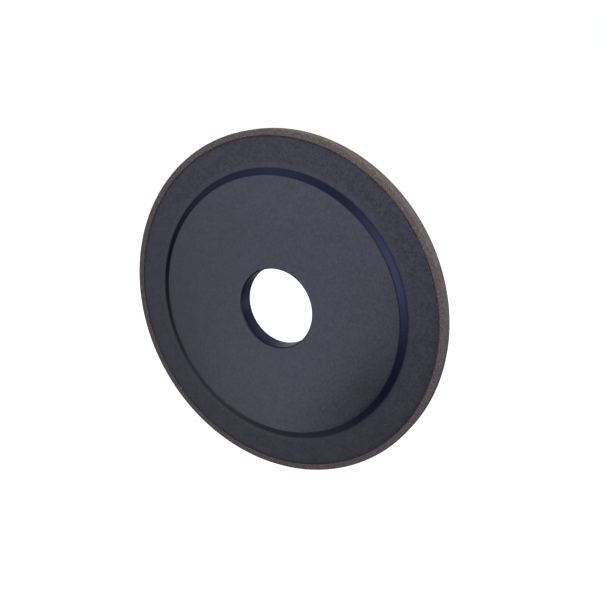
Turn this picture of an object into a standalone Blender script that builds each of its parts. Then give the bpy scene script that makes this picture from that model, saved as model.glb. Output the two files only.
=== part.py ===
"""Diamond grinding wheel: a moulded body with a raised hub, a bonding layer and a diamond abrasive ring.

The wheel stands upright on its rim. Its axis is Y, its front face looks towards -Y, and +Z is up.
The origin is on the axis, midway between the two outer faces. Lengths are in metres.
"""

import math

import bpy
from mathutils import Vector

# Driving dimensions of the whole wheel.
OUTER_RADIUS = 0.110
BORE_RADIUS = 0.0254
RIM_WIDTH = 0.0067
HUB_WIDTH = 0.0113

# The conical step between the flat outer band and the raised hub, the same on both sides.
HUB_FACE_RADIUS = 0.0833
HUB_FOOT_RADIUS = 0.0874

# The layers at the rim, measured along the radius from the outside in.
ABRASIVE_DEPTH = 0.0037
BOND_DEPTH = 0.0005
FITTING_GAP = 0.00025

# Edge treatments.
BORE_CHAMFER = 0.0006
HUB_EDGE_ROUNDING = 0.0008
HUB_FOOT_ROUNDING = 0.0010
BODY_RIM_ROUNDING = 0.0002
ABRASIVE_EDGE_ROUNDING = 0.0003
ABRASIVE_INNER_ROUNDING = 0.0001

# Facets round the wheel, and points along each rounded edge.
TURN_STEPS = 144
ROUNDING_STEPS = 2

# An edge turning more than this is shaded as a sharp one.
SHARP_ANGLE = math.radians(40)

COLLECTION_NAME = "diamond_grinding_wheel"


def clear_scene():
    for item in list(bpy.data.objects):
        bpy.data.objects.remove(item)


def make_collection():
    collection = bpy.data.collections.new(COLLECTION_NAME)
    bpy.context.scene.collection.children.link(collection)
    return collection


def make_material(name, colour, roughness, metallic=0.0):
    material = bpy.data.materials.new(name)
    material.use_nodes = True
    shader = material.node_tree.nodes["Principled BSDF"]
    shader.inputs["Base Color"].default_value = (*colour, 1.0)
    shader.inputs["Roughness"].default_value = roughness
    shader.inputs["Metallic"].default_value = metallic
    return material


def rounded_corner(before, corner, after, rounding):
    """The points of an arc that rounds the corner between two straight sides of an outline."""
    if rounding == 0.0:
        return [corner]
    to_before = (before - corner).normalized()
    to_after = (after - corner).normalized()
    half_angle = to_before.angle(to_after) / 2
    reach = rounding / math.tan(half_angle)
    centre = corner + (to_before + to_after).normalized() * (rounding / math.sin(half_angle))
    first = corner + to_before * reach - centre
    last = corner + to_after * reach - centre
    sweep = math.pi - 2 * half_angle
    points = []
    for step in range(ROUNDING_STEPS + 1):
        share = step / ROUNDING_STEPS
        first_weight = math.sin((1 - share) * sweep) / math.sin(sweep)
        last_weight = math.sin(share * sweep) / math.sin(sweep)
        points.append(centre + first * first_weight + last * last_weight)
    return points


def rounded_outline(corners):
    """Turn (radius, height, rounding) corners of a closed outline into its points."""
    places = [Vector((radius, height)) for radius, height, _ in corners]
    points = []
    for index, (_, _, rounding) in enumerate(corners):
        before = places[index - 1]
        after = places[(index + 1) % len(places)]
        points.extend(rounded_corner(before, places[index], after, rounding))
    return points


def with_mirrored_half(front_corners):
    """Add the back half of an outline whose front half runs outwards from the bore to the rim."""
    back_corners = [(radius, -height, rounding) for radius, height, rounding in reversed(front_corners)]
    return front_corners + back_corners


def make_turned_ring(name, corners, material, collection):
    """Turn a closed outline round the wheel's axis, with its height direction facing the front."""
    outline = rounded_outline(corners)
    vertices = [(point.x, 0.0, point.y) for point in outline]
    edges = [(index, (index + 1) % len(outline)) for index in range(len(outline))]
    mesh = bpy.data.meshes.new(name)
    mesh.from_pydata(vertices, edges, [])
    ring = bpy.data.objects.new(name, mesh)
    collection.objects.link(ring)
    ring.rotation_euler.x = math.pi / 2
    screw = ring.modifiers.new("turn", "SCREW")
    screw.axis = "Z"
    screw.angle = 2 * math.pi
    screw.steps = TURN_STEPS
    screw.render_steps = TURN_STEPS
    screw.use_merge_vertices = True
    screw.merge_threshold = 0.00001
    bake_modifiers(ring)
    ring.data.materials.append(material)
    return ring


def bake_modifiers(item):
    """Replace the object's mesh with the turned one, shaded smooth between its sharp edges."""
    graph = bpy.context.evaluated_depsgraph_get()
    turned = bpy.data.meshes.new_from_object(item.evaluated_get(graph))
    turned.shade_smooth()
    turned.set_sharp_from_angle(angle=SHARP_ANGLE)
    outline = item.data
    item.modifiers.clear()
    item.data = turned
    bpy.data.meshes.remove(outline)
    turned.name = item.name


def abrasive_inner_radius():
    return OUTER_RADIUS - ABRASIVE_DEPTH


def bond_outer_radius():
    return abrasive_inner_radius() - FITTING_GAP


def bond_inner_radius():
    return bond_outer_radius() - BOND_DEPTH


def body_outer_radius():
    return bond_inner_radius() - FITTING_GAP


def make_wheel_core(collection):
    """The moulded body: chamfered bore, flat hub faces, conical steps and the flat outer band."""
    hub_height = HUB_WIDTH / 2
    band_height = RIM_WIDTH / 2
    front = [
        (BORE_RADIUS, hub_height - BORE_CHAMFER, 0.0),
        (BORE_RADIUS + BORE_CHAMFER, hub_height, 0.0),
        (HUB_FACE_RADIUS, hub_height, HUB_EDGE_ROUNDING),
        (HUB_FOOT_RADIUS, band_height, HUB_FOOT_ROUNDING),
        (body_outer_radius(), band_height, BODY_RIM_ROUNDING),
    ]
    material = make_material("dark_moulded_body", (0.055, 0.060, 0.080), 0.50)
    return make_turned_ring("wheel_core", with_mirrored_half(front), material, collection)


def make_bond_layer(collection):
    """The thin bonding layer that holds the abrasive ring on the body."""
    band_height = RIM_WIDTH / 2
    front = [
        (bond_inner_radius(), band_height, 0.0),
        (bond_outer_radius(), band_height, 0.0),
    ]
    material = make_material("dark_bond", (0.025, 0.018, 0.016), 0.60)
    return make_turned_ring("bond_layer", with_mirrored_half(front), material, collection)


def make_diamond_rim(collection):
    """The resin-bonded diamond abrasive ring."""
    band_height = RIM_WIDTH / 2
    front = [
        (abrasive_inner_radius(), band_height, ABRASIVE_INNER_ROUNDING),
        (OUTER_RADIUS, band_height, ABRASIVE_EDGE_ROUNDING),
    ]
    material = make_material("diamond_abrasive", (0.115, 0.088, 0.078), 0.75)
    return make_turned_ring("diamond_rim", with_mirrored_half(front), material, collection)


def main():
    clear_scene()
    collection = make_collection()
    make_wheel_core(collection)
    make_bond_layer(collection)
    make_diamond_rim(collection)


main()
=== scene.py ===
"""Looks of the diamond grinding wheel: its fine turned surfaces and materials, the floor, light and camera.

The wheel stands upright on a pale floor. Its axis is Y, its front face looks towards -Y, and +Z is up.
All lengths are in metres.
"""

import math

import bpy
import numpy as np
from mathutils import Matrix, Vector, noise


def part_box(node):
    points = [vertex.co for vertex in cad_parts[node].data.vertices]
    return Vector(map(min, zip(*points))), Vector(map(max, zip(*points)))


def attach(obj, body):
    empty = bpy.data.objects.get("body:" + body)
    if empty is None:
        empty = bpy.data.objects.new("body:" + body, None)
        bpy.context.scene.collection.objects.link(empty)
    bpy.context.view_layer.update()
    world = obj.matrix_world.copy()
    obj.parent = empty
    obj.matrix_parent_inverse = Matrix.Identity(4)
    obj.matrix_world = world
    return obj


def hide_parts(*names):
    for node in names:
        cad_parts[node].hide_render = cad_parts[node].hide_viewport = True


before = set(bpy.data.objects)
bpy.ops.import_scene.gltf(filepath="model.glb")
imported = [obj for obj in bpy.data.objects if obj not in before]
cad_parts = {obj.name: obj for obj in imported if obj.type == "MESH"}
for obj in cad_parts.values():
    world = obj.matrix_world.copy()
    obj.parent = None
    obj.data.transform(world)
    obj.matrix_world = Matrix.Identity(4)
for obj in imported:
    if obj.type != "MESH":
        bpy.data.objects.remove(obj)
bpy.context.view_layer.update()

# Radii that the CAD nodes' boxes don't give.
BORE_RADIUS = 0.0254
HUB_FACE_RADIUS = 0.0833
HUB_FOOT_RADIUS = 0.0874

# The rest of the wheel's dimensions come from the frame.
OUTER_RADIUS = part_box("diamond_rim")[1].x
RIM_HALF_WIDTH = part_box("diamond_rim")[1].y
HUB_HALF_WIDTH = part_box("wheel_core")[1].y
BOND_OUTER_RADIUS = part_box("bond_layer")[1].x

# The bonded joint: the body, the bond and the abrasive meet with no gap.
FITTING_GAP = 0.00025
BOND_DEPTH = 0.0005
ABRASIVE_INNER_RADIUS = BOND_OUTER_RADIUS + FITTING_GAP
BODY_OUTER_RADIUS = BOND_OUTER_RADIUS - BOND_DEPTH - FITTING_GAP
BOND_RECESS = 0.0002

# Small shapes of the moulded body.
BORE_CHAMFER = 0.0007
BORE_CHAMFER_ROUNDING = 0.0003
HUB_EDGE_ROUNDING = 0.0016
HUB_FOOT_ROUNDING = 0.0028
BODY_RIM_ROUNDING = 0.00018

# The hub's face is flat on a ring half way out. It leans down towards its edge outside that ring, and towards
# the bore inside it.
OUTER_LEAN = math.radians(0.5)
OUTER_LEAN_FROM = 0.0610
OUTER_LEAN_FULL = 0.0700
INNER_LEAN = math.radians(0.2)
INNER_LEAN_FROM = 0.0550
INNER_LEAN_FULL = 0.0420

# Small shapes of the abrasive ring.
ABRASIVE_EDGE_ROUNDING = 0.00025
ABRASIVE_INNER_ROUNDING = 0.00015
EDGE_WEAR_DEPTH = 0.00006
EDGE_WEAR_PITCH = 0.0011

# The smooth finish of the hub's step runs a little way onto the outer band.
STEP_END_RADIUS = 0.0873
STEP_MARGIN_RADIUS = 0.0896

# At a rounded corner the finish changes this share of the rounding's radius away from the corner.
FINISH_CHANGE_SHARE = 0.25

# Facets round the wheel, points along roundings, and the longest sides of an outline.
TURN_STEPS = 720
ROUNDING_STEPS = 6
BODY_LONGEST_SIDE = 0.0025
ABRASIVE_LONGEST_SIDE = 0.0008
SHARP_ANGLE = math.radians(35)

# Markings of the moulded body: their sizes, and the share that each kind has in its colour.
CLOUD_SIZE = 0.0110
MOTTLE_SIZE = 0.0021
GRAIN_SIZE = 0.0009
TURNING_MARK_PITCH = 0.0009
CLOUD_SHARE = 0.18
MOTTLE_SHARE = 0.35
GRAIN_SHARE = 0.47
MOTTLE_ROUGHNESS = 0.05

# Small pits in the moulded body, which come in patches.
PIT_SPACING = 0.0052
PIT_PATCH_SIZE = 0.014
PIT_DEPTH = 0.00004
PIT_ROUGHNESS = 0.12

# Markings of the bond.
BOND_CLOUD_SIZE = 0.003
BOND_GRAIN_SIZE = 0.0006
BOND_GRAIN_DEPTH = 0.00006
BOND_ROUGHNESS = 0.7
BOND_CLOUD_ROUGHNESS = 0.15

# Markings of the abrasive. Its grains' shares say how far they change the resin's colour.
GRIT_SPACING = 0.00030
GRIT_DEPTH = 0.00005
DARK_GRAIN_SHARE = 0.45
BRIGHT_GRAIN_SHARE = 0.40
DRESSING_PITCH = 0.0006
DRESSING_DEPTH = 0.00004
ABRASIVE_CLOUD_SIZE = 0.010
ABRASIVE_CLOUD_SHARE = 0.35
ABRASIVE_MOTTLE_SIZE = 0.0022
ABRASIVE_MOTTLE_SHARE = 0.65
ABRASIVE_HUE_SIZE = 0.0065
ABRASIVE_ROUGHNESS = 0.72
BRIGHT_GRAIN_GLOSS = 0.25

# The camera looks at the wheel from its right and from above. The wheel's place is in outer radii, along the
# camera's own axes.
CAMERA_AZIMUTH = math.radians(29.09)
CAMERA_ELEVATION = math.radians(17.68)
CAMERA_LENS_MM = 49.06
SENSOR_WIDTH_MM = 36.0
WHEEL_RIGHT_OF_VIEW = -0.1290
WHEEL_BELOW_VIEW = 0.0439
WHEEL_DISTANCE = 4.6474

FLOOR_SIZE = 24.0
FLOOR_CLOUD_SIZE = 0.4


# ---------------------------------------------------------------- outlines and turned meshes


def rounded_corner(before, corner, after, rounding):
    """The points of an arc that rounds the corner between two straight sides of an outline."""
    if rounding == 0.0:
        return [corner]
    to_before = (before - corner).normalized()
    to_after = (after - corner).normalized()
    half_angle = to_before.angle(to_after) / 2
    reach = rounding / math.tan(half_angle)
    centre = corner + (to_before + to_after).normalized() * (rounding / math.sin(half_angle))
    first = corner + to_before * reach - centre
    last = corner + to_after * reach - centre
    sweep = math.pi - 2 * half_angle
    points = []
    for step in range(ROUNDING_STEPS + 1):
        share = step / ROUNDING_STEPS
        first_weight = math.sin((1 - share) * sweep) / math.sin(sweep)
        last_weight = math.sin(share * sweep) / math.sin(sweep)
        points.append(centre + first * first_weight + last * last_weight)
    return points


def rounded_outline(corners):
    """Turn (radius, height, rounding) corners of a closed outline into its points."""
    places = [Vector((radius, height)) for radius, height, _ in corners]
    points = []
    for index, (_, _, rounding) in enumerate(corners):
        before = places[index - 1]
        after = places[(index + 1) % len(places)]
        points.extend(rounded_corner(before, places[index], after, rounding))
    return points


def with_mirrored_half(front_corners):
    """Add the back half of an outline whose front half runs outwards from the bore to the rim."""
    back_corners = [(radius, -height, rounding) for radius, height, rounding in reversed(front_corners)]
    return front_corners + back_corners


def divided(points, longest):
    """Add points along the sides of a closed outline that are longer than this."""
    result = []
    for index, point in enumerate(points):
        following = points[(index + 1) % len(points)]
        parts = max(1, math.ceil((following - point).length / longest))
        result.extend(point.lerp(following, part / parts) for part in range(parts))
    return result


def lean_drop(radius, start, full, lean):
    """How far a face has fallen where its lean grows evenly from zero at one radius to full at another."""
    travel = (radius - start) / (full - start)
    if travel <= 0:
        return 0.0
    reach = travel * travel / 2 if travel < 1 else travel - 0.5
    return reach * abs(full - start) * math.tan(lean)


def crowned(point):
    """Lower the hub's face a little towards its edge and its bore, as a pressed and lapped face is."""
    if point.x > HUB_FOOT_RADIUS:
        return point
    radius = min(point.x, HUB_FACE_RADIUS)
    outer = lean_drop(radius, OUTER_LEAN_FROM, OUTER_LEAN_FULL, OUTER_LEAN)
    inner = lean_drop(radius, INNER_LEAN_FROM, INNER_LEAN_FULL, INNER_LEAN)
    above_band = (abs(point.y) - RIM_HALF_WIDTH) / (HUB_HALF_WIDTH - RIM_HALF_WIDTH)
    drop = (outer + inner) * min(max(above_band, 0.0), 1.0)
    return Vector((point.x, math.copysign(abs(point.y) - drop, point.y)))


def turned_places(radii, heights):
    """The outline's points at every turn round the Y axis, with heights facing the front."""
    angles = np.arange(TURN_STEPS) * (2 * math.pi / TURN_STEPS)
    places = np.empty((TURN_STEPS, len(radii), 3))
    places[..., 0] = np.cos(angles)[:, None] * radii
    places[..., 1] = -heights
    places[..., 2] = np.sin(angles)[:, None] * radii
    return places.reshape(-1, 3)


def turned_faces(count):
    """The four-sided faces between the turns of an outline with this many points."""
    turns = np.arange(TURN_STEPS)[:, None]
    near = turns * count
    far = (turns + 1) % TURN_STEPS * count
    here = np.arange(count)
    after = (here + 1) % count
    return np.stack([near + here, near + after, far + after, far + here], axis=-1).reshape(-1, 4)


def turned_mesh(name, outline, zone_of, materials):
    """Turn an outline of (radius, height) points into a closed ring, with a material on each of its zones."""
    radii = np.array([point.x for point in outline])
    heights = np.array([point.y for point in outline])
    mesh = bpy.data.meshes.new(name)
    mesh.from_pydata(turned_places(radii, heights).tolist(), [], turned_faces(len(outline)).tolist())
    names = [material.name for material in materials]
    middles = (radii + np.roll(radii, -1)) / 2
    side_zones = [names.index(zone_of(radius)) for radius in middles]
    mesh.polygons.foreach_set("material_index", np.tile(side_zones, TURN_STEPS).astype(np.int32))
    for material in materials:
        mesh.materials.append(material)
    mesh.update()
    mesh.shade_smooth()
    mesh.set_sharp_from_angle(angle=SHARP_ANGLE)
    return mesh


def add_piece(name, mesh, node):
    piece = bpy.data.objects.new(name, mesh)
    bpy.context.scene.collection.objects.link(piece)
    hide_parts(node)
    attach(piece, "root")


# ---------------------------------------------------------------- material nodes


class Shader:
    """A material's node tree, with short calls for the nodes that these materials share."""

    def __init__(self, name):
        self.material = bpy.data.materials.new(name)
        self.material.use_nodes = True
        self.tree = self.material.node_tree
        self.surface = self.tree.nodes["Principled BSDF"]
        coordinates = self.tree.nodes.new("ShaderNodeTexCoord")
        self.place = coordinates.outputs["Object"]

    def node(self, kind, **settings):
        made = self.tree.nodes.new(kind)
        for key, value in settings.items():
            setattr(made, key, value)
        return made

    def feed(self, socket, value):
        """Link an output into a socket, or set the socket to a plain value."""
        if isinstance(value, bpy.types.NodeSocket):
            self.tree.links.new(value, socket)
        else:
            socket.default_value = value

    def math(self, operation, first, second):
        made = self.node("ShaderNodeMath", operation=operation)
        self.feed(made.inputs[0], first)
        self.feed(made.inputs[1], second)
        return made.outputs[0]

    def total(self, *parts):
        """Add up (value, weight) pairs."""
        weighted = [self.math("MULTIPLY", value, weight) for value, weight in parts]
        result = weighted[0]
        for value in weighted[1:]:
            result = self.math("ADD", result, value)
        return result

    def radius(self):
        """The distance from the wheel's axis."""
        flat = self.node("ShaderNodeVectorMath", operation="MULTIPLY")
        self.feed(flat.inputs[0], self.place)
        flat.inputs[1].default_value = (1.0, 0.0, 1.0)
        length = self.node("ShaderNodeVectorMath", operation="LENGTH")
        self.feed(length.inputs[0], flat.outputs["Vector"])
        return length.outputs["Value"]

    def height(self):
        """The distance along the wheel's axis."""
        parts = self.node("ShaderNodeSeparateXYZ")
        self.feed(parts.inputs[0], self.place)
        return parts.outputs["Y"]

    def noise(self, size, detail=3.0, roughness=0.55):
        """Cloudy noise, from 0 to 1, whose blotches are about this size."""
        made = self.node("ShaderNodeTexNoise")
        self.feed(made.inputs["Vector"], self.place)
        made.inputs["Scale"].default_value = 1.0 / size
        made.inputs["Detail"].default_value = detail
        made.inputs["Roughness"].default_value = roughness
        return made.outputs["Fac"]

    def lines(self, along, pitch):
        """Fine parallel marks of uneven depth, about this far apart along a distance."""
        made = self.node("ShaderNodeTexNoise", noise_dimensions="1D")
        self.feed(made.inputs["W"], self.math("DIVIDE", along, pitch))
        made.inputs["Scale"].default_value = 1.0
        made.inputs["Detail"].default_value = 4.0
        made.inputs["Roughness"].default_value = 0.6
        return made.outputs["Fac"]

    def cells(self, spacing):
        """A node that gives the nearest of many scattered points: its distance in spacings, and its colour."""
        made = self.node("ShaderNodeTexVoronoi", feature="F1")
        self.feed(made.inputs["Vector"], self.place)
        made.inputs["Scale"].default_value = 1.0 / spacing
        return made

    def spread(self, value, low, high):
        """Map a value's range from low to high onto 0 to 1, smoothly and clamped."""
        made = self.node("ShaderNodeMapRange", interpolation_type="SMOOTHSTEP")
        self.feed(made.inputs["Value"], value)
        made.inputs["From Min"].default_value = low
        made.inputs["From Max"].default_value = high
        return made.outputs["Result"]

    def mix(self, share, first, second):
        """Mix two colours."""
        made = self.node("ShaderNodeMix", data_type="RGBA")
        self.feed(made.inputs["Factor"], share)
        self.feed(made.inputs["A"], first)
        self.feed(made.inputs["B"], second)
        return made.outputs["Result"]

    def bump(self, height, depth, below=None):
        """Raise and lower the surface by a 0 to 1 height, over another bump."""
        made = self.node("ShaderNodeBump")
        made.inputs["Strength"].default_value = 1.0
        made.inputs["Distance"].default_value = depth
        self.feed(made.inputs["Height"], height)
        if below is not None:
            self.feed(made.inputs["Normal"], below)
        return made.outputs["Normal"]

    def set(self, name, value):
        self.feed(self.surface.inputs[name], value)


def colour(red, green, blue):
    """A colour as the shader's sockets take it, with full alpha."""
    return (red, green, blue, 1.0)


def pits_of(shader, amount):
    """Small scattered pits: 0 between them, rising to this amount in their middles."""
    outside = shader.spread(shader.cells(PIT_SPACING).outputs["Distance"], low=0.08, high=0.17)
    patch = shader.spread(shader.noise(PIT_PATCH_SIZE, detail=1.0), low=0.50, high=0.60)
    pit = shader.math("MULTIPLY", shader.math("SUBTRACT", 1.0, outside), patch)
    return shader.math("MULTIPLY", pit, amount)


def moulded_material(name, light, dark, sheen_tint, roughness, grain_depth, pits):
    """Dark filled resin: cloudy colour, fine grain, faint turning marks and a few dark pits.

    The mottling is twice as deep as the grain, and the turning marks are half as deep.
    """
    shader = Shader(name)
    cloud = shader.spread(shader.noise(CLOUD_SIZE, detail=5.0, roughness=0.80), low=0.32, high=0.68)
    mottle = shader.spread(shader.noise(MOTTLE_SIZE, detail=3.0, roughness=0.75), low=0.30, high=0.70)
    grain = shader.spread(shader.noise(GRAIN_SIZE, detail=2.0, roughness=0.6), low=0.30, high=0.70)
    marks = shader.lines(shader.radius(), TURNING_MARK_PITCH)
    pit = pits_of(shader, pits)
    shade = shader.total((cloud, CLOUD_SHARE), (mottle, MOTTLE_SHARE), (grain, GRAIN_SHARE))
    tone = shader.mix(shader.spread(shade, low=0.20, high=0.80), dark, light)
    shader.set("Base Color", shader.mix(pit, tone, dark))
    smoother = shader.math("MULTIPLY", mottle, -MOTTLE_ROUGHNESS)
    rough = shader.math("ADD", smoother, roughness + MOTTLE_ROUGHNESS / 2)
    rough = shader.math("ADD", rough, shader.math("MULTIPLY", pit, PIT_ROUGHNESS))
    shader.set("Roughness", rough)
    normal = shader.bump(mottle, grain_depth * 2)
    normal = shader.bump(grain, grain_depth, normal)
    normal = shader.bump(marks, grain_depth / 2, normal)
    normal = shader.bump(shader.math("MULTIPLY", pit, -1.0), PIT_DEPTH, normal)
    shader.set("Normal", normal)
    shader.set("Specular Tint", sheen_tint)
    shader.set("IOR", 1.5)
    return shader


def bore_material():
    """The bore's wall: the moulding again, with painted shade that darkens it towards the front."""
    shader = moulded_material(
        "bore_wall",
        light=colour(0.0070, 0.0070, 0.0130),
        dark=colour(0.0040, 0.0040, 0.0080),
        sheen_tint=colour(0.26, 0.28, 0.56),
        roughness=0.30,
        grain_depth=0.000005,
        pits=0.0,
    )
    tone = shader.surface.inputs["Base Color"].links[0].from_socket
    # Painted shade: the wall's colour darkens towards its front end.
    painted_front_shade = colour(0.0015, 0.0015, 0.0040)
    depth = shader.spread(shader.height(), low=-0.0050, high=0.0020)
    shader.set("Base Color", shader.mix(depth, painted_front_shade, tone))
    shader.set("Specular IOR Level", 0.25)
    return shader


def bond_material():
    """The dull dark bonding layer."""
    shader = Shader("bond_resin")
    cloud = shader.spread(shader.noise(BOND_CLOUD_SIZE), low=0.3, high=0.7)
    shader.set("Base Color", shader.mix(cloud, colour(0.009, 0.007, 0.008), colour(0.018, 0.015, 0.016)))
    rougher = shader.math("MULTIPLY", cloud, BOND_CLOUD_ROUGHNESS)
    shader.set("Roughness", shader.math("ADD", rougher, BOND_ROUGHNESS))
    shader.set("Specular IOR Level", 0.2)
    shader.set("Normal", shader.bump(shader.noise(BOND_GRAIN_SIZE), BOND_GRAIN_DEPTH))
    return shader.material


def resin_tone(shader):
    """The colour of the abrasive's own resin, which wanders between a pinkish and a tan brown."""
    cloud = shader.spread(shader.noise(ABRASIVE_CLOUD_SIZE, detail=4.0, roughness=0.6), low=0.35, high=0.65)
    mottle = shader.noise(ABRASIVE_MOTTLE_SIZE, detail=3.0, roughness=0.6)
    shade = shader.total((cloud, ABRASIVE_CLOUD_SHARE), (mottle, ABRASIVE_MOTTLE_SHARE))
    hue = shader.spread(shader.noise(ABRASIVE_HUE_SIZE, detail=2.0), low=0.40, high=0.60)
    pinkish = shader.mix(shade, colour(0.026, 0.020, 0.020), colour(0.035, 0.027, 0.027))
    tan = shader.mix(shade, colour(0.025, 0.021, 0.017), colour(0.033, 0.028, 0.022))
    return shader.mix(hue, pinkish, tan)


def abrasive_material():
    """Brown resin bond full of diamond grit, dressed on its face and rim.

    Each grain draws its own colour: a high red makes it a bright one, and a high green a dark one.
    """
    shader = Shader("diamond_grit")
    grit = shader.cells(GRIT_SPACING)
    grain = shader.spread(grit.outputs["Distance"], low=0.15, high=0.75)
    drawn = shader.node("ShaderNodeSeparateColor")
    shader.feed(drawn.inputs[0], grit.outputs["Color"])
    bright = shader.spread(drawn.outputs["Red"], low=0.84, high=0.92)
    dark = shader.spread(drawn.outputs["Green"], low=0.74, high=0.88)
    dark_share = shader.math("MULTIPLY", dark, DARK_GRAIN_SHARE)
    bright_share = shader.math("MULTIPLY", bright, BRIGHT_GRAIN_SHARE)
    tone = shader.mix(dark_share, resin_tone(shader), colour(0.026, 0.018, 0.017))
    shader.set("Base Color", shader.mix(bright_share, tone, colour(0.150, 0.122, 0.116)))
    smoother = shader.math("MULTIPLY", bright, BRIGHT_GRAIN_GLOSS)
    shader.set("Roughness", shader.math("SUBTRACT", ABRASIVE_ROUGHNESS, smoother))
    across = shader.math("ADD", shader.radius(), shader.height())
    normal = shader.bump(grain, GRIT_DEPTH)
    normal = shader.bump(shader.lines(across, DRESSING_PITCH), DRESSING_DEPTH, normal)
    shader.set("Normal", normal)
    shader.set("Specular IOR Level", 0.4)
    return shader.material


# ---------------------------------------------------------------- the wheel's pieces


def hub_face_material():
    """The flat faces of the hub, the glossiest part."""
    return moulded_material(
        "hub_face",
        light=colour(0.0076, 0.0076, 0.0104),
        dark=colour(0.0008, 0.0008, 0.0014),
        sheen_tint=colour(0.84, 0.85, 0.95),
        roughness=0.14,
        grain_depth=0.000004,
        pits=0.35,
    )


def hub_step_material():
    """The smooth and bluer slope from the hub down to the outer band."""
    return moulded_material(
        "hub_step",
        light=colour(0.0011, 0.0014, 0.0055),
        dark=colour(0.0004, 0.0006, 0.0026),
        sheen_tint=colour(0.60, 0.62, 0.95),
        roughness=0.15,
        grain_depth=0.000003,
        pits=0.0,
    )


def step_margin_material():
    """The narrow smooth strip of the outer band beside the step."""
    return moulded_material(
        "step_margin",
        light=colour(0.0050, 0.0050, 0.0070),
        dark=colour(0.0010, 0.0010, 0.0020),
        sheen_tint=colour(0.86, 0.87, 1.0),
        roughness=0.28,
        grain_depth=0.000004,
        pits=0.0,
    )


def outer_band_material():
    """The flat outer band, rougher and more pitted than the hub."""
    return moulded_material(
        "outer_band",
        light=colour(0.0074, 0.0074, 0.0100),
        dark=colour(0.0008, 0.0008, 0.0014),
        sheen_tint=colour(0.85, 0.86, 0.97),
        roughness=0.37,
        grain_depth=0.000012,
        pits=0.8,
    )


def bore_edge_material():
    """The chamfer at each end of the bore, coloured dark as painted shade."""
    return moulded_material(
        "bore_edge",
        # Painted shade: darker colours than the bore's wall and the hub's face.
        light=colour(0.0040, 0.0040, 0.0080),
        dark=colour(0.0020, 0.0020, 0.0050),
        sheen_tint=colour(0.26, 0.27, 0.38),
        roughness=0.35,
        grain_depth=0.000005,
        pits=0.0,
    )


def body_materials():
    """The body's finishes, whose names body_zone gives."""
    finishes = [
        hub_face_material(),
        hub_step_material(),
        step_margin_material(),
        outer_band_material(),
        bore_material(),
        bore_edge_material(),
    ]
    return [finish.material for finish in finishes]


def body_zone(radius):
    """Which of the body's surfaces lies at this radius, the same on both sides."""
    if radius < BORE_RADIUS + BORE_CHAMFER_ROUNDING * FINISH_CHANGE_SHARE:
        return "bore_wall"
    if radius < BORE_RADIUS + BORE_CHAMFER:
        return "bore_edge"
    if radius < HUB_FACE_RADIUS - HUB_EDGE_ROUNDING * FINISH_CHANGE_SHARE:
        return "hub_face"
    if radius < STEP_END_RADIUS:
        return "hub_step"
    if radius < STEP_MARGIN_RADIUS:
        return "step_margin"
    return "outer_band"


def make_body():
    """The moulded body, with one finish on each of its surfaces."""
    front = [
        (BORE_RADIUS, HUB_HALF_WIDTH - BORE_CHAMFER, BORE_CHAMFER_ROUNDING),
        (BORE_RADIUS + BORE_CHAMFER, HUB_HALF_WIDTH, BORE_CHAMFER_ROUNDING),
        (HUB_FACE_RADIUS, HUB_HALF_WIDTH, HUB_EDGE_ROUNDING),
        (HUB_FOOT_RADIUS, RIM_HALF_WIDTH, HUB_FOOT_ROUNDING),
        (BODY_OUTER_RADIUS, RIM_HALF_WIDTH, BODY_RIM_ROUNDING),
    ]
    outline = divided(rounded_outline(with_mirrored_half(front)), BODY_LONGEST_SIDE)
    outline = [crowned(point) for point in outline]
    mesh = turned_mesh("moulded_body", outline, body_zone, body_materials())
    add_piece("moulded_body", mesh, "wheel_core")


def make_bond():
    """The bond fills the joint, with its edges a little below the faces beside it."""
    height = RIM_HALF_WIDTH - BOND_RECESS
    front = [
        (BODY_OUTER_RADIUS, height, 0.0),
        (ABRASIVE_INNER_RADIUS, height, 0.0),
    ]
    material = bond_material()
    outline = rounded_outline(with_mirrored_half(front))
    mesh = turned_mesh("bond_line", outline, lambda radius: material.name, [material])
    add_piece("bond_line", mesh, "bond_layer")


def wear_edges(mesh):
    """Wear the abrasive's outer edges unevenly, as small grains break out of them."""
    for vertex in mesh.vertices:
        radius = math.hypot(vertex.co.x, vertex.co.z)
        from_rim = OUTER_RADIUS - radius
        from_face = RIM_HALF_WIDTH - abs(vertex.co.y)
        near = 1 - min(1.0, (from_rim + from_face) / (2 * ABRASIVE_EDGE_ROUNDING))
        if near <= 0:
            continue
        amount = 0.5 + 0.5 * noise.noise(vertex.co / EDGE_WEAR_PITCH)
        depth = EDGE_WEAR_DEPTH * near * max(0.0, amount)
        vertex.co.x -= depth * vertex.co.x / radius
        vertex.co.z -= depth * vertex.co.z / radius
        vertex.co.y -= math.copysign(depth, vertex.co.y)
    mesh.update()


def make_abrasive():
    """The abrasive ring, which makes the wheel's rim."""
    front = [
        (ABRASIVE_INNER_RADIUS, RIM_HALF_WIDTH, ABRASIVE_INNER_ROUNDING),
        (OUTER_RADIUS, RIM_HALF_WIDTH, ABRASIVE_EDGE_ROUNDING),
    ]
    outline = divided(rounded_outline(with_mirrored_half(front)), ABRASIVE_LONGEST_SIDE)
    material = abrasive_material()
    mesh = turned_mesh("abrasive_ring", outline, lambda radius: material.name, [material])
    wear_edges(mesh)
    add_piece("abrasive_ring", mesh, "diamond_rim")


# ---------------------------------------------------------------- floor, light and camera


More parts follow.
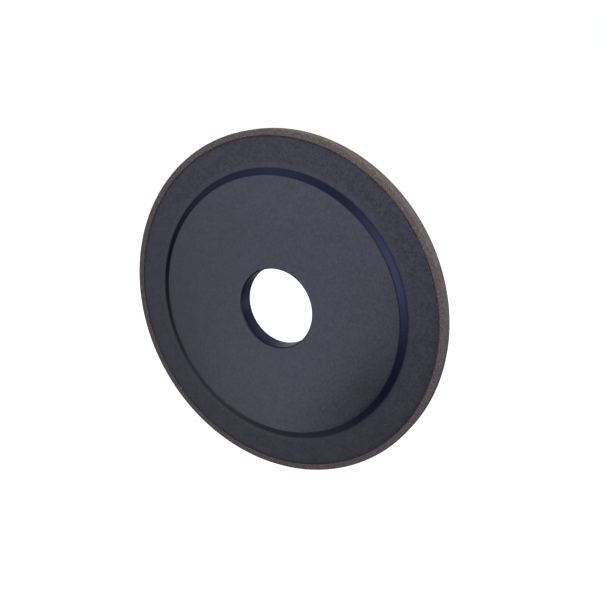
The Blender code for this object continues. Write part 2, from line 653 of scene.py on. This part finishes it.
def make_floor():
    """A white sheet lit from below, as a light table is, so that the wheel hardly shades it.

    It doesn't light the wheel or show in its gloss: floor_glow stands in for that.
    """
    mesh = bpy.data.meshes.new("floor")
    half = FLOOR_SIZE / 2
    corners = [(-half, -half), (half, -half), (half, half), (-half, half)]
    mesh.from_pydata([(x, y, -OUTER_RADIUS) for x, y in corners], [], [(0, 1, 2, 3)])
    shader = Shader("floor_sheet")
    cloud = shader.noise(FLOOR_CLOUD_SIZE, detail=2.0)
    shader.set("Base Color", shader.mix(cloud, colour(0.09, 0.09, 0.09), colour(0.11, 0.11, 0.11)))
    shader.set("Roughness", 0.9)
    shader.set("Specular IOR Level", 0.0)
    shader.set("Emission Color", colour(1.0, 1.0, 1.0))
    shader.set("Emission Strength", 1.0)
    mesh.materials.append(shader.material)
    floor = bpy.data.objects.new("floor", mesh)
    bpy.context.scene.collection.objects.link(floor)
    floor.visible_glossy = False
    floor.visible_diffuse = False


# The soft panels around the wheel: the azimuth and elevation of each one's middle, its width and strength.
# An azimuth runs from the wheel's front towards +X, and an elevation up from level, all in degrees.
GLOWS = (
    ("front_panel", -28, -3.5, 16, 1.75),
    ("low_panel", -28, -26, 6, 1.05),
    ("side_panel", 55, 17, 22, 3.90),
    ("upper_panel", -45, 55, 17.5, 1.20),
    ("left_strip", -91, 29.5, 11.5, 1.45),
    ("lower_left_panel", -86, -38, 9, 0.55),
    ("floor_glow", -29, -55, 21, 0.40),
    ("back_panel", 180, -3, 13, 2.20),
    ("back_high_panel", 170, 34, 16, 0.35),
    ("back_left_panel", -127, -14, 9, 2.00),
    ("back_right_panel", 127, -14, 9, 2.20),
    ("back_left_wash", -147, 14, 12, 0.60),
    ("back_low_strip", -162, -31, 6, 0.25),
)

# A small dark card beside the low panel. Its strength is the share of the light that it takes away.
CARD = (-21.0, -27.5, 3.8, 1.0)

# Faint light from everywhere, the cool colour of that and of the panels, and the white behind the wheel.
SURROUNDING_LIGHT = 0.04
PANEL_COLOUR = (1.0, 1.0, 1.19)
BACKDROP_STRENGTH = 1.01


def towards(azimuth, elevation):
    """The unit vector that points this way from the wheel."""
    aside = math.radians(azimuth)
    above = math.radians(elevation)
    return (math.sin(aside) * math.cos(above), -math.cos(aside) * math.cos(above), math.sin(above))


def make_glow(tree, direction, azimuth, elevation, width):
    """A round soft glow in the surroundings, one at its middle and fading outwards."""
    facing = tree.nodes.new("ShaderNodeVectorMath")
    facing.operation = "DOT_PRODUCT"
    tree.links.new(direction, facing.inputs[0])
    facing.inputs[1].default_value = towards(azimuth, elevation)
    sharpness = 1 / math.radians(width) ** 2
    exponent = tree.nodes.new("ShaderNodeMath")
    exponent.operation = "MULTIPLY_ADD"
    tree.links.new(facing.outputs["Value"], exponent.inputs[0])
    exponent.inputs[1].default_value = sharpness
    exponent.inputs[2].default_value = -sharpness
    glow = tree.nodes.new("ShaderNodeMath")
    glow.operation = "EXPONENT"
    tree.links.new(exponent.outputs[0], glow.inputs[0])
    return glow.outputs[0]


def weighted_sum(tree, amount, weight, start):
    """The start, a value or a socket, plus an amount times a weight."""
    added = tree.nodes.new("ShaderNodeMath")
    added.operation = "MULTIPLY_ADD"
    tree.links.new(amount, added.inputs[0])
    added.inputs[1].default_value = weight
    if isinstance(start, bpy.types.NodeSocket):
        tree.links.new(start, added.inputs[2])
    else:
        added.inputs[2].default_value = start
    return added.outputs[0]


def panel_light(tree, direction):
    """The light that comes from a direction: every glow added up, less what the card takes away."""
    total = SURROUNDING_LIGHT
    for name, azimuth, elevation, width, strength in GLOWS:
        glow = make_glow(tree, direction, azimuth, elevation, width)
        glow.node.label = name
        total = weighted_sum(tree, glow, strength, total)
    azimuth, elevation, width, strength = CARD
    card = make_glow(tree, direction, azimuth, elevation, width)
    passed = weighted_sum(tree, card, -strength, 1.0)
    shaded = tree.nodes.new("ShaderNodeMath")
    shaded.operation = "MULTIPLY"
    tree.links.new(total, shaded.inputs[0])
    tree.links.new(passed, shaded.inputs[1])
    return shaded.outputs[0]


def make_world():
    """Soft panels that light the wheel and show in its gloss, on a white backdrop."""
    world = bpy.data.worlds.new("studio")
    bpy.context.scene.world = world
    world.use_nodes = True
    tree = world.node_tree
    direction = tree.nodes.new("ShaderNodeTexCoord").outputs["Generated"]
    panels = tree.nodes["Background"]
    panels.inputs["Color"].default_value = colour(*PANEL_COLOUR)
    tree.links.new(panel_light(tree, direction), panels.inputs["Strength"])
    backdrop = tree.nodes.new("ShaderNodeBackground")
    backdrop.inputs["Color"].default_value = colour(1.0, 1.0, 1.0)
    backdrop.inputs["Strength"].default_value = BACKDROP_STRENGTH
    choice = tree.nodes.new("ShaderNodeMixShader")
    tree.links.new(tree.nodes.new("ShaderNodeLightPath").outputs["Is Camera Ray"], choice.inputs["Fac"])
    tree.links.new(panels.outputs[0], choice.inputs[1])
    tree.links.new(backdrop.outputs[0], choice.inputs[2])
    tree.links.new(choice.outputs[0], tree.nodes["World Output"].inputs["Surface"])


def make_soft_light(name, place, size, watts):
    """A square soft light aimed at the wheel, which lights it but doesn't show in its gloss."""
    light = bpy.data.lights.new(name, "AREA")
    light.shape = "SQUARE"
    light.size = size
    light.energy = watts
    lamp = bpy.data.objects.new(name, light)
    lamp.location = place
    lamp.rotation_euler = (-Vector(place)).to_track_quat("-Z", "Y").to_euler()
    lamp.visible_glossy = False
    bpy.context.scene.collection.objects.link(lamp)


def make_camera():
    """The camera, at the photo's angle and distance from the middle of the rim's front face."""
    across = math.cos(CAMERA_AZIMUTH)
    aside = math.sin(CAMERA_AZIMUTH)
    level = math.cos(CAMERA_ELEVATION)
    above = math.sin(CAMERA_ELEVATION)
    right = Vector((across, aside, 0.0))
    forward = Vector((-aside * level, across * level, -above))
    down = forward.cross(right)
    offset = right * WHEEL_RIGHT_OF_VIEW + down * WHEEL_BELOW_VIEW + forward * WHEEL_DISTANCE
    data = bpy.data.cameras.new("camera")
    data.lens = CAMERA_LENS_MM
    data.sensor_width = SENSOR_WIDTH_MM
    data.clip_start = 0.01
    data.clip_end = 100.0
    camera = bpy.data.objects.new("camera", data)
    camera.location = Vector((0.0, -RIM_HALF_WIDTH, 0.0)) - offset * OUTER_RADIUS
    camera.rotation_euler = forward.to_track_quat("-Z", "Y").to_euler()
    bpy.context.scene.collection.objects.link(camera)
    bpy.context.scene.camera = camera


make_body()
make_bond()
make_abrasive()
make_floor()
make_world()
make_soft_light("key", place=(0.24, -0.22, 0.33), size=0.25, watts=5.8)
make_soft_light("back_fill", place=(-0.25, 0.45, 0.35), size=0.40, watts=7.0)
make_camera()
bpy.context.scene.view_settings.view_transform = "Standard"
